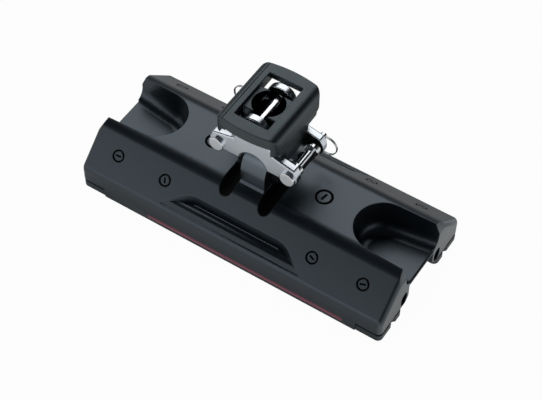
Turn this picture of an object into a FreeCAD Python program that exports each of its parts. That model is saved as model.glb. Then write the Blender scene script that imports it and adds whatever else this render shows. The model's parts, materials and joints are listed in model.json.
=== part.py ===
import FreeCAD, Part
import math
import os
import Sketcher

# Track car: a long anodised body on a channel track, a drum post in the middle of its deck,
# and a hinged stainless toggle inside a black stand-up boot.
# Frame: X along the track, Y across it, Z up from the feet, origin under the middle of the car.

doc = FreeCAD.newDocument("track_car")
sheet = doc.addObject("Spreadsheet::Sheet", "sheet")

# Sizes in millimetres; a text that starts with an equals sign follows from the others
sizes = [
    # car body
    ("car_length", "254.6"), ("car_width", "110"), ("body_setback", "0.1"), ("end_rake", "4"),
    ("rake_start", "39"), ("middle_offset", "-0.6"),
    ("side_height", "21"), ("deck_height", "48.5"), ("deck_half", "25.5"),
    ("ridge_round", "17"), ("foot_round", "6"), ("end_round", "4"),
    ("return_middle", "23"), ("return_half", "4"), ("return_low", "9"), ("return_high", "21"),
    ("return_depth", "6"), ("inner_bevel", "4.5"), ("lead_in", "12"), ("web_bevel", "1.4"),
    ("web_edge", "1"),
    ("channel_half", "16.6"), ("channel_roof", "18"),
    ("race_reach", "24"), ("race_low", "4.6"), ("race_high", "15.4"),
    # scoops at both ends
    ("scoop_start", "73.6"), ("scoop_half", "22"), ("scoop_mouth", "23.8"), ("scoop_floor", "20.4"),
    ("scoop_mouth_floor", "26.4"), ("scoop_taper", "5"), ("scoop_fillet", "9.5"),
    # thumb recess on the slopes
    ("thumb_low_half", "59"), ("thumb_top_half", "41"), ("thumb_low_along", "3.6"),
    ("thumb_top_along", "19.9"), ("thumb_depth", "6.5"), ("thumb_back", "7.2"), ("thumb_round", "20"),
    ("thumb_step", "0.7"), ("thumb_shelf", "4"), ("thumb_bulge", "1.6"),
    # end caps
    ("cap_length", "20"), ("cap_height", "6.1"), ("cap_slot", "2"), ("cap_inner", "24"),
    ("cap_corner", "4"), ("cap_joint", "0.1"), ("cap_notch", "3.4"), ("cap_notch_depth", "2"),
    ("cap_notch_middle", "36.5"), ("cap_side_lip", "0.4"),
    # ball races
    ("ball_radius", "3"), ("ball_count", "33"), ("ball_pitch", "6.3"), ("ball_middle", "17.4"),
    ("race_length", "209"), ("ball_clear", "0.3"),
    # screws
    ("slope_screw_inner", "62"), ("slope_screw_outer", "103"), ("slope_screw_along", "20"),
    ("slope_head_radius", "3.65"), ("slope_ring_radius", "4.7"), ("slope_ring_depth", "1.4"),
    ("slope_shank_radius", "2"), ("slope_screw_length", "11"),
    ("deck_screw_middle", "46.4"), ("deck_head_radius", "5.2"), ("deck_ring_radius", "6.6"),
    ("deck_ring_depth", "2"), ("deck_shank_radius", "3"), ("deck_screw_length", "20"),
    ("slope_slot_width", "1.3"), ("deck_slot_width", "1.8"), ("screw_slot_depth", "1.1"),
    ("screw_clear", "0.3"),
    ("cap_screw_radius", "1.5"), ("cap_screw_head", "2.8"), ("cap_screw_sink", "2.2"),
    ("cap_screw_length", "13"), ("cap_screw_out", "47"), ("cap_screw_in", "30"),
    ("cap_screw_end", "10"), ("cap_screw_recess", "0.6"), ("cap_screw_slot", "0.9"), ("cap_bevel", "0.6"),
    ("head_bevel", "0.35"), ("slot_share", "0.6"),
    # stripes on the side walls
    ("stripe_start", "-68.4"), ("stripe_end", "96.6"), ("stripe_width", "0.9"), ("stripe_low", "2.7"),
    ("stripe_high", "4.3"), ("stripe_depth", "0.3"), ("stripe_room", "0.5"),
    # drum post and the grooves beside it
    ("hinge_height", "60"), ("drum_radius", "20"), ("drum_half", "10"), ("post_flare", "5"),
    ("flare_drop", "9.5"), ("channel_edge", "5"),
    ("groove_middle", "16.2"), ("groove_radius", "5.6"), ("groove_clear", "0.4"),
    # hinge
    ("hinge_pin_radius", "5"), ("bush_radius", "7"), ("fit_clear", "0.05"),
    ("clip_width", "1.1"), ("clip_ring", "1.6"), ("clip_gap", "0.15"), ("clip_sink", "0.6"),
    ("clip_play", "0.1"), ("pin_bevel", "0.4"), ("pin_rest", "0.5"),
    # toggle: rises are measured up from the hinge, or from the lugs for the arms and hooks
    ("plate_inner", "14"), ("plate_outer", "20"), ("leg_inner", "10.8"), ("leg_outer", "16.8"),
    ("leg_eye_radius", "13"), ("leg_rise", "32"), ("shoulder_rise", "18"), ("drum_room", "4"),
    ("lug_radius", "7"), ("lug_middle", "29.1"), ("lug_rise", "17.8"), ("plate_drop", "5.2"),
    ("plate_low_half", "26"), ("arm_side_rise", "4.8"), ("arm_lean", "0.5"), ("arm_end", "33.2"),
    ("arm_end_rise", "9"), ("arm_start", "19.6"), ("arm_start_rise", "12.2"),
    ("nick_half", "15.8"), ("nick_rise", "13.6"), ("nick_gap", "3.4"), ("hook_half", "17.9"),
    ("hook_rise", "2.2"), ("neck_half", "13"), ("eye_rise", "48.5"), ("eye_radius", "11"),
    ("notch_radius", "11"), ("notch_rise", "11.5"), ("plate_bevel", "0.8"),
    # pins across the toggle
    ("centre_pin_radius", "4"), ("centre_clip_width", "0.8"), ("centre_clip_ring", "1.2"),
    ("centre_clip_sink", "0.5"), ("side_pin_radius", "2.5"), ("side_head_radius", "5.9"),
    ("side_head_width", "2.5"), ("side_head_round", "0.8"),
    ("side_pin_tail", "7.2"), ("side_hole_back", "2.6"), ("hole_offset", "0.25"),
    ("ring_radius", "7.8"), ("ring_wire", "0.7"), ("ring_hole", "1.3"),
    ("left_swing", "-115"), ("right_swing", "30"),
    ("spacer_radius", "5.6"), ("spacer_length", "5"), ("spacer_gap", "0.1"),
    # boot: levels are measured from the centre pin, those of its skirt from the hinge
    ("boot_rise", "12"), ("cap_rise", "2.5"), ("boot_low_rise", "16"), ("boot_half", "18.3"),
    ("boot_shoulder_half", "22.6"), ("boot_shoulder_rise", "9.9"), ("boot_side_half", "24.3"),
    ("boot_side_rise", "6"), ("boot_bulge_half", "25"), ("boot_bulge_drop", "1.5"),
    ("boot_waist_half", "24.2"), ("boot_waist_drop", "10"), ("boot_tuck_half", "22.8"),
    ("boot_tuck_rise", "28"), ("boot_low_half", "20.2"), ("boot_front", "32"),
    ("boot_corner_half", "18.6"), ("boot_corner", "30.2"), ("boot_bend_half", "23"),
    ("boot_bend", "28"), ("boot_side_reach", "23"), ("boot_inner", "13.7"),
    ("boot_wing_rise", "21"), ("boot_wing_inner", "20.2"), ("boot_wing_reach", "23"),
    ("boot_cheek_drop", "4.5"),
    ("window_half", "13.4"), ("window_reach", "22"), ("ledge_rise", "8.9"),
    ("ledge_reach", "11"), ("bore_radius", "11.3"), ("boot_leg_clear", "0.3"),
    ("crown_clear", "0.4"), ("rim_rise", "6.7"), ("boot_slit_half", "5.4"),
    # room round cutting tools
    ("tool_past", "2"),
    # sizes that follow from the others
    ("half_length", "=car_length / 2"), ("half_width", "=car_width / 2"),
    ("body_half", "=half_length - body_setback"), ("body_length", "=2 * body_half"),
    ("top_half", "=body_half - end_rake"), ("over_half", "=half_length + cap_length"),
    ("cap_start", "=half_length - cap_length"), ("cap_room", "=cap_start - cap_joint"),
    ("cap_roof", "=cap_height + cap_slot"), ("cap_face", "=half_width - cap_side_lip"),
    ("post_flare_height", "=hinge_height - flare_drop"),
    ("groove_level", "=hinge_height - leg_eye_radius - groove_clear"),
    ("leg_top", "=hinge_height + leg_rise"), ("leg_shoulder", "=hinge_height + shoulder_rise"),
    ("crown_low", "=hinge_height + drum_radius + drum_room"),
    ("lug_height", "=hinge_height + lug_rise"), ("plate_low", "=lug_height - plate_drop"),
    ("arm_side", "=lug_height + arm_side_rise"), ("arm_end_height", "=lug_height + arm_end_rise"),
    ("arm_start_height", "=lug_height + arm_start_rise"), ("nick_low", "=lug_height + nick_rise"),
    ("nick_high", "=nick_low + nick_gap"), ("plate_top", "=nick_high + hook_rise"),
    ("eye_height", "=hinge_height + eye_rise"), ("notch_height", "=hinge_height + notch_rise"),
    ("boot_top", "=eye_height + boot_rise"), ("boot_cap_low", "=eye_height + cap_rise"),
    ("boot_shoulder_height", "=eye_height + boot_shoulder_rise"),
    ("boot_side_height", "=eye_height + boot_side_rise"),
    ("boot_bulge_height", "=eye_height - boot_bulge_drop"),
    ("boot_waist_height", "=eye_height - boot_waist_drop"),
    ("boot_tuck_height", "=hinge_height + boot_tuck_rise"),
    ("boot_low", "=hinge_height + boot_low_rise"), ("boot_wing_low", "=lug_height + boot_wing_rise"),
    ("boot_cheek_low", "=eye_height - boot_cheek_drop"),
    ("ledge_height", "=eye_height + ledge_rise"), ("rim_low", "=eye_height + rim_rise"),
    ("boot_floor", "=leg_top + crown_clear"),
    ("double_width", "=2 * car_width"), ("below", "=-tool_past"),
    ("over_deck", "=deck_height + hinge_height"),
    ("web_low", "=scoop_mouth_floor - web_bevel - web_edge"),
    ("drum_width", "=2 * drum_half"), ("post_half", "=drum_radius + post_flare"),
    ("post_base", "=deck_height - channel_edge"), ("groove_inner", "=groove_middle - groove_radius"),
    ("groove_outer", "=groove_middle + groove_radius"),
    ("pin_bore", "=hinge_pin_radius + fit_clear"), ("bush_bore", "=bush_radius + fit_clear"),
    ("plate_width", "=plate_outer - plate_inner"),
    ("centre_bore", "=centre_pin_radius + fit_clear"), ("side_bore", "=side_pin_radius + fit_clear"),
    ("boot_leg_half", "=leg_outer + boot_leg_clear"),
    ("rail_inner", "=ball_middle"), ("rail_outer", "=race_reach"),
    ("rail_low", "=race_low"), ("rail_high", "=race_high"),
    ("ball_level", "=(race_low + race_high) / 2"), ("groove_ball", "=ball_radius + ball_clear"),
    ("pin_tail", "=plate_outer + side_pin_tail"), ("ring_station", "=pin_tail - side_hole_back"),
    ("double_leg_outer", "=2 * leg_outer"), ("crown_depth", "=2 * plate_inner"),
    ("gap_low", "=hinge_height - leg_eye_radius - tool_past"),
    ("slot_floor", "=eye_height"), ("slit_low", "=eye_height - boot_slit_half"),
    ("lug_edge", "=lug_middle + lug_radius"), ("arm_edge", "=lug_edge - arm_lean"),
]
for row, (alias, text) in enumerate(sizes, start=1):
    sheet.set("A%d" % row, alias)
    sheet.set("B%d" % row, text)
    sheet.setAlias("B%d" % row, alias)
doc.recompute()


def size(name):
    """Value of a named size; a leading minus sign turns it round."""
    if name == "0":
        return 0.0
    if name.startswith("-"):
        return -size(name[1:])
    value = sheet.get(name)
    return float(getattr(value, "Value", value))


def term(name):
    """The same size as an expression."""
    if name.startswith("-"):
        return "-sheet." + name[1:]
    return "sheet." + name


def bind(item, prop, name):
    item.setExpression(prop, term(name))


def new_body(name):
    body = doc.addObject("PartDesign::Body", name)
    body.Label = name
    return body


def new_sketch(body, name, plane):
    sketch = body.newObject("Sketcher::SketchObject", name)
    support = [f for f in body.Origin.OriginFeatures if f.Role == plane][0]
    sketch.AttachmentSupport = (support, [""])
    sketch.MapMode = "FlatFace"
    return sketch


def shift(sketch, direction, name):
    """Move a sketch off its plane origin by a named distance along one of its own axes."""
    base = FreeCAD.Vector(0, 0, 0)
    setattr(base, direction, size(name))
    sketch.AttachmentOffset = FreeCAD.Placement(base, FreeCAD.Rotation())
    sketch.setExpression("AttachmentOffset.Base." + direction, term(name))


def lock(sketch, geo, pos, across, upward):
    """Hold one point of a sketch at two named coordinates."""
    for kind, name, axis in (("DistanceX", across, -2), ("DistanceY", upward, -1)):
        if name == "0":
            sketch.addConstraint(Sketcher.Constraint("PointOnObject", geo, pos, axis))
        else:
            index = sketch.addConstraint(Sketcher.Constraint(kind, -1, 1, geo, pos, size(name)))
            sketch.setExpression("Constraints[%d]" % index, term(name))


def polygon(sketch, points):
    """Closed outline through named coordinates."""
    spots = [FreeCAD.Vector(size(a), size(b), 0) for a, b in points]
    first = sketch.GeometryCount
    count = len(spots)
    for i in range(count):
        sketch.addGeometry(Part.LineSegment(spots[i], spots[(i + 1) % count]), False)
    for i in range(count):
        after = first + (i + 1) % count
        sketch.addConstraint(Sketcher.Constraint("Coincident", first + i, 2, after, 1))
        lock(sketch, first + i, 1, *points[i])


def circle(sketch, across, upward, radius):
    middle = FreeCAD.Vector(size(across), size(upward), 0)
    geo = sketch.addGeometry(Part.Circle(middle, FreeCAD.Vector(0, 0, 1), size(radius)), False)
    index = sketch.addConstraint(Sketcher.Constraint("Radius", geo, size(radius)))
    sketch.setExpression("Constraints[%d]" % index, term(radius))
    lock(sketch, geo, 3, across, upward)


def trough(sketch, inner, outer, middle, level, top):
    """Upright sides closed by a half round bottom."""
    corners = [(inner, level), (inner, top), (outer, top), (outer, level)]
    spots = [FreeCAD.Vector(size(a), size(b), 0) for a, b in corners]
    first = sketch.GeometryCount
    for i in range(3):
        sketch.addGeometry(Part.LineSegment(spots[i], spots[i + 1]), False)
    radius = abs(size(outer) - size(inner)) / 2
    low = FreeCAD.Vector(size(middle), size(level) - radius, 0)
    arc = Part.Arc(spots[0], low, spots[3])
    sketch.addGeometry(arc, False)
    for i in range(2):
        sketch.addConstraint(Sketcher.Constraint("Coincident", first + i, 2, first + i + 1, 1))
    for i in range(3):
        lock(sketch, first + i, 1, *corners[i])
    lock(sketch, first + 2, 2, *corners[3])
    begins = sketch.getPoint(first + 3, 1).isEqual(spots[0], 0.001)
    sketch.addConstraint(Sketcher.Constraint("Coincident", first + 3, 1 if begins else 2, first, 1))
    sketch.addConstraint(Sketcher.Constraint("Coincident", first + 3, 2 if begins else 1, first + 2, 2))
    index = sketch.addConstraint(Sketcher.Constraint("DistanceY", -1, 1, first + 3, 3, size(level)))
    sketch.setExpression("Constraints[%d]" % index, term(level))


def pad(body, name, sketch, length, midplane=True, reverse=False):
    feature = body.newObject("PartDesign::Pad", name)
    feature.Profile = sketch
    bind(feature, "Length", length)
    feature.Midplane = midplane
    feature.Reversed = reverse
    sketch.Visibility = False
    doc.recompute()
    return feature


def pocket(body, name, sketch, length, midplane=True, reverse=False):
    volume = body.Shape.Volume
    feature = body.newObject("PartDesign::Pocket", name)
    feature.Profile = sketch
    bind(feature, "Length", length)
    feature.Midplane = midplane
    feature.Reversed = reverse
    sketch.Visibility = False
    doc.recompute()
    if near(body.Shape.Volume, volume) or body.Shape.Volume > volume:
        raise RuntimeError("nothing removed by " + name)
    return feature


def fillet(body, name, radius, wanted):
    """Round the edges of a body that the wanted test picks."""
    base = body.Tip
    names = ["Edge%d" % (i + 1) for i, e in enumerate(base.Shape.Edges) if wanted(e)]
    if not names:
        raise RuntimeError("no edge for " + name)
    feature = body.newObject("PartDesign::Fillet", name)
    feature.Base = (base, names)
    bind(feature, "Radius", radius)
    doc.recompute()
    return feature


def chamfer(body, name, length, wanted):
    """Bevel the edges of a body that the wanted test picks."""
    base = body.Tip
    names = ["Edge%d" % (i + 1) for i, e in enumerate(base.Shape.Edges) if wanted(e)]
    if not names:
        raise RuntimeError("no edge for " + name)
    feature = body.newObject("PartDesign::Chamfer", name)
    feature.Base = (base, names)
    bind(feature, "Size", length)
    doc.recompute()
    return feature


def near(value, *targets):
    """True where a value matches one of the targets to a twentieth of a millimetre."""
    return any(abs(value - target) < 0.05 for target in targets)


def along_x(edge):
    box = edge.BoundBox
    return box.XLength > size("cap_length") and near(box.YLength, 0) and near(box.ZLength, 0)


def solid(name, shape):
    """Object that keeps a shape computed from the sheet."""
    item = doc.addObject("Part::Feature", name)
    item.Label = name
    item.Shape = shape
    item.Placement = shape.Placement
    return item


V = FreeCAD.Vector
ORIGIN = V(0, 0, 0)
AXIS_X = V(1, 0, 0)
AXIS_Y = V(0, 1, 0)
AXIS_Z = V(0, 0, 1)
past = size("tool_past")


def block(x_low, x_high, y_low, y_high, z_low, z_high):
    """Box between two stations on each axis."""
    return Part.makeBox(x_high - x_low, y_high - y_low, z_high - z_low, V(x_low, y_low, z_low))


def tube(radius, bore, length, start, axis):
    """Ring or plain tube along an axis."""
    outside = Part.makeCylinder(radius, length, start, axis)
    return outside.cut(Part.makeCylinder(bore, length + 2 * past, start - axis * past, axis))


def round_edges(shape):
    return [e for e in shape.Edges if e.Curve.TypeId == "Part::GeomCircle"]

# Slope of the body: foot point, direction up the slope, outward normal
slope_angle = math.atan((size("deck_height") - size("side_height"))
                        / (size("half_width") - size("deck_half")))


def slope_point(x, along, side):
    """Point on the slope, the given distance up from its foot; side is -1 in front."""
    y = side * (size("half_width") - along * math.cos(slope_angle))
    return V(x, y, size("side_height") + along * math.sin(slope_angle))


def slope_normal(side):
    return V(0, side * math.sin(slope_angle), math.cos(slope_angle))


# Car body: one extruded section, raked ends, rounded ridges
blank = new_body("car_blank")
section = new_sketch(blank, "body_section", "YZ_Plane")
polygon(section, [
    ("half_width", "0"), ("half_width", "side_height"), ("deck_half", "deck_height"),
    ("-deck_half", "deck_height"), ("-half_width", "side_height"), ("-half_width", "0"),
    ("-channel_half", "0"), ("-channel_half", "channel_roof"), ("channel_half", "channel_roof"),
    ("channel_half", "0"),
])
pad(blank, "body_pad", section, "body_length")
fillet(blank, "ridge_rounding", "ridge_round",
       lambda e: along_x(e) and near(e.BoundBox.ZMin, size("deck_height")))
fillet(blank, "foot_rounding", "foot_round",
       lambda e: along_x(e) and near(e.BoundBox.ZMin, size("side_height"))
       and near(abs(e.BoundBox.YMin), size("half_width")))
fillet(blank, "end_rounding", "end_round",
       lambda e: near(e.BoundBox.XLength, 0) and near(abs(e.BoundBox.XMin), size("body_half"))
       and (e.BoundBox.ZMax > size("side_height") or near(abs(e.BoundBox.YMin), size("half_width"))))
races = new_sketch(blank, "race_outline", "YZ_Plane")
for sign in ("", "-"):
    polygon(races, [(sign + "channel_half", "race_low"), (sign + "race_reach", "race_low"),
                    (sign + "race_reach", "race_high"), (sign + "channel_half", "race_high")])
pocket(blank, "race_cut", races, "race_length")
for end, sign in (("left", "-"), ("right", "")):
    rake = new_sketch(blank, end + "_rake", "XZ_Plane")
    polygon(rake, [(sign + "body_half", "rake_start"), (sign + "top_half", "deck_height"),
                   (sign + "top_half", "over_deck"), (sign + "over_half", "over_deck"),
                   (sign + "over_half", "rake_start")])
    pocket(blank, end + "_rake_cut", rake, "double_width")
    room = new_sketch(blank, end + "_cap_room", "XZ_Plane")
    polygon(room, [(sign + "cap_room", "below"), (sign + "cap_room", "cap_roof"),
                   (sign + "over_half", "cap_roof"), (sign + "over_half", "below")])
    pocket(blank, end + "_cap_cut", room, "double_width")

# Post with its drum, and the two grooves that clear the toggle legs
post = new_sketch(blank, "post_outline", "YZ_Plane")
shift(post, "z", "middle_offset")
polygon(post, [("drum_radius", "hinge_height"), ("drum_radius", "post_flare_height"),
               ("post_half", "post_base"), ("-post_half", "post_base"),
               ("-drum_radius", "post_flare_height"), ("-drum_radius", "hinge_height")])
pad(blank, "post_pad", post, "drum_width")
drum = new_sketch(blank, "drum_outline", "YZ_Plane")
shift(drum, "z", "middle_offset")
circle(drum, "0", "hinge_height", "drum_radius")
pad(blank, "drum_pad", drum, "drum_width")
groove = new_sketch(blank, "groove_outline", "XZ_Plane")
shift(groove, "x", "middle_offset")
for sign in ("", "-"):
    trough(groove, sign + "groove_inner", sign + "groove_outer", sign + "groove_middle",
           "groove_level", "over_deck")
pocket(blank, "groove_cut", groove, "double_width")
bore = new_sketch(blank, "hinge_bore", "YZ_Plane")
circle(bore, "0", "hinge_height", "bush_bore")
pocket(blank, "hinge_bore_cut", bore, "double_width")


# Scoops: tapered tools with a rounded inner end and a deep fillet round a floor that climbs outward
def scoop_outline(level):
    """Outline at a level: an arc at the inner end, and sides that touch it and open to the mouth."""
    shrink = (size("deck_height") - level) * math.tan(math.radians(size("scoop_taper")))
    half = size("scoop_half") - shrink
    middle = size("scoop_start") + shrink + half
    far = size("over_half")
    mouth = size("scoop_mouth")
    reach = math.hypot(far - middle, mouth)
    turn = math.atan2(mouth, far - middle) + math.acos(half / reach)
    touch_x = middle + half * math.cos(turn)
    touch_y = half * math.sin(turn)
    corners = (V(far, -mouth, level), V(touch_x, -touch_y, level), V(touch_x, touch_y, level),
               V(far, mouth, level))
    return Part.Wire([
        Part.LineSegment(corners[0], corners[1]).toShape(),
        Part.Arc(corners[1], V(middle - half, 0, level), corners[2]).toShape(),
        Part.LineSegment(corners[2], corners[3]).toShape(),
        Part.LineSegment(corners[3], corners[0]).toShape(),
    ])


def scoop_level(x):
    """Height of the scoop's floor, a straight climb from its inner end to its mouth."""
    share = (x - size("scoop_start")) / (size("half_length") - size("scoop_start"))
    return size("scoop_floor") + share * (size("scoop_mouth_floor") - size("scoop_floor"))


def scoop_tool(side):
    low = size("scoop_floor") - past
    tool = Part.makeLoft([scoop_outline(size("deck_height") + past), scoop_outline(low)], True)
    start = size("scoop_start") - past
    far = size("over_half") + past
    deep = size("half_width")
    under = [V(start, -deep, low - past), V(start, -deep, scoop_level(start)),
             V(far, -deep, scoop_level(far)), V(far, -deep, low - past)]
    tool = tool.cut(Part.Face(Part.makePolygon(under + [under[0]])).extrude(AXIS_Y * 2 * deep))
    edges = [e for e in tool.Edges if e.BoundBox.XMin < size("half_length")
             and all(near(v.Z, scoop_level(v.X)) for v in e.Vertexes)]
    tool = tool.makeFillet(size("scoop_fillet"), edges)
    if side < 0:
        tool = tool.mirror(ORIGIN, AXIS_X)
    return tool


# Thumb recess: sloping walls with rounded upper corners, over a floor that runs level with the slope
# for a little way from its foot and then curves down to the crease
def thumb_outline(side, lift):
    """Outline of the walls at a lift above the slope, drawn in along the slope as it goes down."""
    top = size("thumb_top_along")
    low = size("thumb_low_along")
    inset = -lift * size("thumb_back") / size("thumb_depth")
    angle = math.atan2(top - low, size("thumb_low_half") - size("thumb_top_half"))
    middle = top - size("thumb_round")
    across = size("thumb_top_half") - size("thumb_round") * math.tan(angle / 2)
    radius = size("thumb_round") - inset
    base = low - 2 * past
    end = (across + radius * math.sin(angle), middle + radius * math.cos(angle))
    half = (across + radius * math.sin(angle / 2), middle + radius * math.cos(angle / 2))
    foot = (end[0] + (end[1] - base) / math.tan(angle), base)

    def spot(x, along):
        return slope_point(x, along, side) + slope_normal(side) * lift
    top_edge = (across, middle + radius)
    right = [spot(*point) for point in (top_edge, half, end, foot)]
    left = [spot(-x, along) for x, along in (top_edge, half, end, foot)]
    return Part.Wire([
        Part.LineSegment(left[0], right[0]).toShape(),
        Part.Arc(right[0], right[1], right[2]).toShape(),
        Part.LineSegment(right[2], right[3]).toShape(),
        Part.LineSegment(right[3], left[3]).toShape(),
        Part.LineSegment(left[3], left[2]).toShape(),
        Part.Arc(left[2], left[1], left[0]).toShape(),
    ])


def thumb_tool(side):
    depth = size("thumb_depth")
    walls = Part.makeLoft([thumb_outline(side, past), thumb_outline(side, -depth - past)], True)
    reach = size("thumb_low_half") + size("thumb_round")
    low = size("thumb_low_along")
    step = size("thumb_step")
    shelf = low + size("thumb_shelf")
    crease = size("thumb_top_along") - size("thumb_back")
    chord = math.hypot(crease - shelf, depth - step)
    bulge = size("thumb_bulge") / chord

    def spot(along, lift):
        return slope_point(-reach, along, side) + slope_normal(side) * lift
    foot = spot(low, 0)
    shelf_foot = spot(low + step / 2, -step)
    shelf_end = spot(shelf, -step)
    belly = spot((shelf + crease) / 2 + bulge * (depth - step),
                 bulge * (crease - shelf) - (depth + step) / 2)
    inner = spot(crease, -depth)
    beyond = spot(size("thumb_top_along") + past, -depth)
    over = spot(size("thumb_top_along") + past, 2 * past)
    profile = Part.Wire([
        Part.LineSegment(foot, shelf_foot).toShape(),
        Part.LineSegment(shelf_foot, shelf_end).toShape(),
        Part.Arc(shelf_end, belly, inner).toShape(),
        Part.LineSegment(inner, beyond).toShape(),
        Part.LineSegment(beyond, over).toShape(),
        Part.LineSegment(over, spot(low, 2 * past)).toShape(),
        Part.LineSegment(spot(low, 2 * past), foot).toShape(),
    ])
    return Part.Face(profile).extrude(AXIS_X * 2 * reach).common(walls)


slope_stations = (-size("slope_screw_outer"), -size("slope_screw_inner"),
                  size("slope_screw_inner"), size("slope_screw_outer"))
cutters = [scoop_tool(1), scoop_tool(-1), thumb_tool(-1), thumb_tool(1)]
clear = size("screw_clear")
for side in (-1, 1):
    for x in slope_stations:
        spot = slope_point(x, size("slope_screw_along"), side)
        inward = slope_normal(side) * -1
        cutters.append(Part.makeCylinder(size("slope_ring_radius"), size("slope_ring_depth") + past,
                                         spot - inward * past, inward))
        cutters.append(Part.makeCylinder(size("slope_shank_radius") + clear,
                                         size("slope_screw_length") + clear, spot, inward))
for x in (-size("deck_screw_middle"), size("deck_screw_middle")):
    spot = V(x, 0, size("deck_height"))
    cutters.append(Part.makeCylinder(size("deck_ring_radius"), size("deck_ring_depth") + past,
                                     spot + AXIS_Z * past, AXIS_Z * -1))
    cutters.append(Part.makeCylinder(size("deck_shank_radius") + clear,
                                     size("deck_screw_length") + clear, spot, AXIS_Z * -1))
cap_screw_spots = []
for sx in (-1, 1):
    for sy in (-1, 1):
        for out in ("cap_screw_out", "cap_screw_in"):
            cap_screw_spots.append(V(sx * (size("half_length") - size("cap_screw_end")),
                                     sy * size(out), 0))
for spot in cap_screw_spots:
    cutters.append(Part.makeCylinder(size("cap_screw_radius") + clear,
                                     size("cap_screw_length") + clear, spot, AXIS_Z))


def stripe_boxes(side, grow):
    """Two thin bars on a side wall; the pattern is turned half round on the back."""
    length = size("stripe_end") - size("stripe_start")
    start = size("stripe_start") if side < 0 else -size("stripe_end")
    bars = []
    for low in ("stripe_low", "stripe_high"):
        depth = size("stripe_depth") + grow
        y = -size("half_width") - grow if side < 0 else size("half_width") - size("stripe_depth")
        bars.append(Part.makeBox(length, depth, size("stripe_width"), V(start, y, size(low))))
    return bars


# Each end: the mouth of a ball return beside the channel, a bevel along the channel's lower
# corner above the cap, a lead-in under the scoop, and a bevel along the edge of its floor
half = size("return_half")
depth = size("return_depth") + past
rise = size("return_high") - size("return_low") - 2 * half
bevel = size("inner_bevel")
edge_y = size("channel_half")
edge_z = size("cap_roof")
for sx in (-1, 1):
    start = size("body_half") - size("return_depth") if sx > 0 else -size("body_half") - past
    for sy in (-1, 1):
        spot = V(start, sy * size("return_middle"), size("return_low") + half)
        cutters.append(Part.makeCylinder(half, depth, spot, AXIS_X))
        cutters.append(Part.makeCylinder(half, depth, spot + AXIS_Z * rise, AXIS_X))
        cutters.append(Part.makeBox(depth, 2 * half, rise, spot - AXIS_Y * half))
        foot = size("cap_room") if sx > 0 else -size("cap_room") - size("cap_length")
        corner = [V(foot, sy * (edge_y - past), edge_z - past),
                  V(foot, sy * (edge_y - past), edge_z + bevel + past),
                  V(foot, sy * (edge_y + bevel + past), edge_z - past)]
        face = Part.Face(Part.makePolygon(corner + [corner[0]]))
        cutters.append(face.extrude(AXIS_X * size("cap_length")))
    mouth = sx * size("body_half")
    out = AXIS_X * sx * past
    ramp = [V(mouth - sx * size("lead_in"), -edge_y, size("channel_roof") - past),
            V(mouth - sx * size("lead_in"), -edge_y, size("channel_roof")),
            V(mouth, -edge_y, size("web_low")), V(mouth, -edge_y, size("web_low")) + out,
            V(mouth, -edge_y, size("channel_roof") - past) + out]
    cutters.append(Part.Face(Part.makePolygon(ramp + [ramp[0]])).extrude(AXIS_Y * 2 * edge_y))
    high = scoop_level(size("body_half"))
    tip = size("web_bevel")
    wedge = [V(mouth - sx * tip, -edge_y, high), V(mouth - sx * tip, -edge_y, high + past),
             V(mouth, -edge_y, high + past) + out, V(mouth, -edge_y, high - tip) + out,
             V(mouth, -edge_y, high - tip)]
    cutters.append(Part.Face(Part.makePolygon(wedge + [wedge[0]])).extrude(AXIS_Y * 2 * edge_y))
for side in (-1, 1):
    cutters.extend(stripe_boxes(side, size("stripe_room")))
body_shape = blank.Shape.cut(cutters).removeSplitter()
car_body = solid("car_body", body_shape)
solid("front_stripe", Part.makeCompound(stripe_boxes(-1, 0)))
solid("back_stripe", Part.makeCompound(stripe_boxes(1, 0)))


# End caps: one plate under each leg end, rounded outside, with two feet at the end face
def end_cap(sx, sy):
    x_in = size("cap_start")
    x_out = size("half_length")
    y_in = size("cap_inner")
    y_out = size("cap_face")
    cap = Part.makeBox(x_out - x_in, y_out - y_in, size("cap_height"), V(x_in, y_in, 0))
    upright = [e for e in cap.Edges if near(e.BoundBox.XMin, x_out)
               and near(e.BoundBox.ZLength, size("cap_height"))]
    cap = cap.makeFillet(size("cap_corner"), upright)
    cuts = [Part.makeCylinder(size("cap_notch"), size("cap_height") + 2 * past,
                              V(x_out + size("cap_notch") - size("cap_notch_depth"),
                                size("cap_notch_middle"), -past), AXIS_Z)]
    for out in ("cap_screw_out", "cap_screw_in"):
        spot = V(x_out - size("cap_screw_end"), size(out), 0)
        cuts.append(Part.makeCylinder(size("cap_screw_radius") + clear, size("cap_height") + 2 * past,
                                      spot - AXIS_Z * past, AXIS_Z))
        cuts.append(Part.makeCylinder(size("cap_screw_head") + clear, size("cap_screw_sink") + past,
                                      spot - AXIS_Z * past, AXIS_Z))
    cap = cap.cut(cuts)
    bottom = [e for e in cap.Edges if near(e.BoundBox.ZMax, 0) and near(e.BoundBox.ZMin, 0)
              and near(e.BoundBox.YMin, y_out)]
    cap = cap.makeChamfer(size("cap_bevel"), bottom)
    if sx < 0:
        cap = cap.mirror(ORIGIN, AXIS_X)
    if sy < 0:
        cap = cap.mirror(ORIGIN, AXIS_Y)
    return cap


for sx, end in ((-1, "left"), (1, "right")):
    for sy, row in ((-1, "front"), (1, "back")):
        solid("%s_%s_cap" % (row, end), end_cap(sx, sy))

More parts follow.
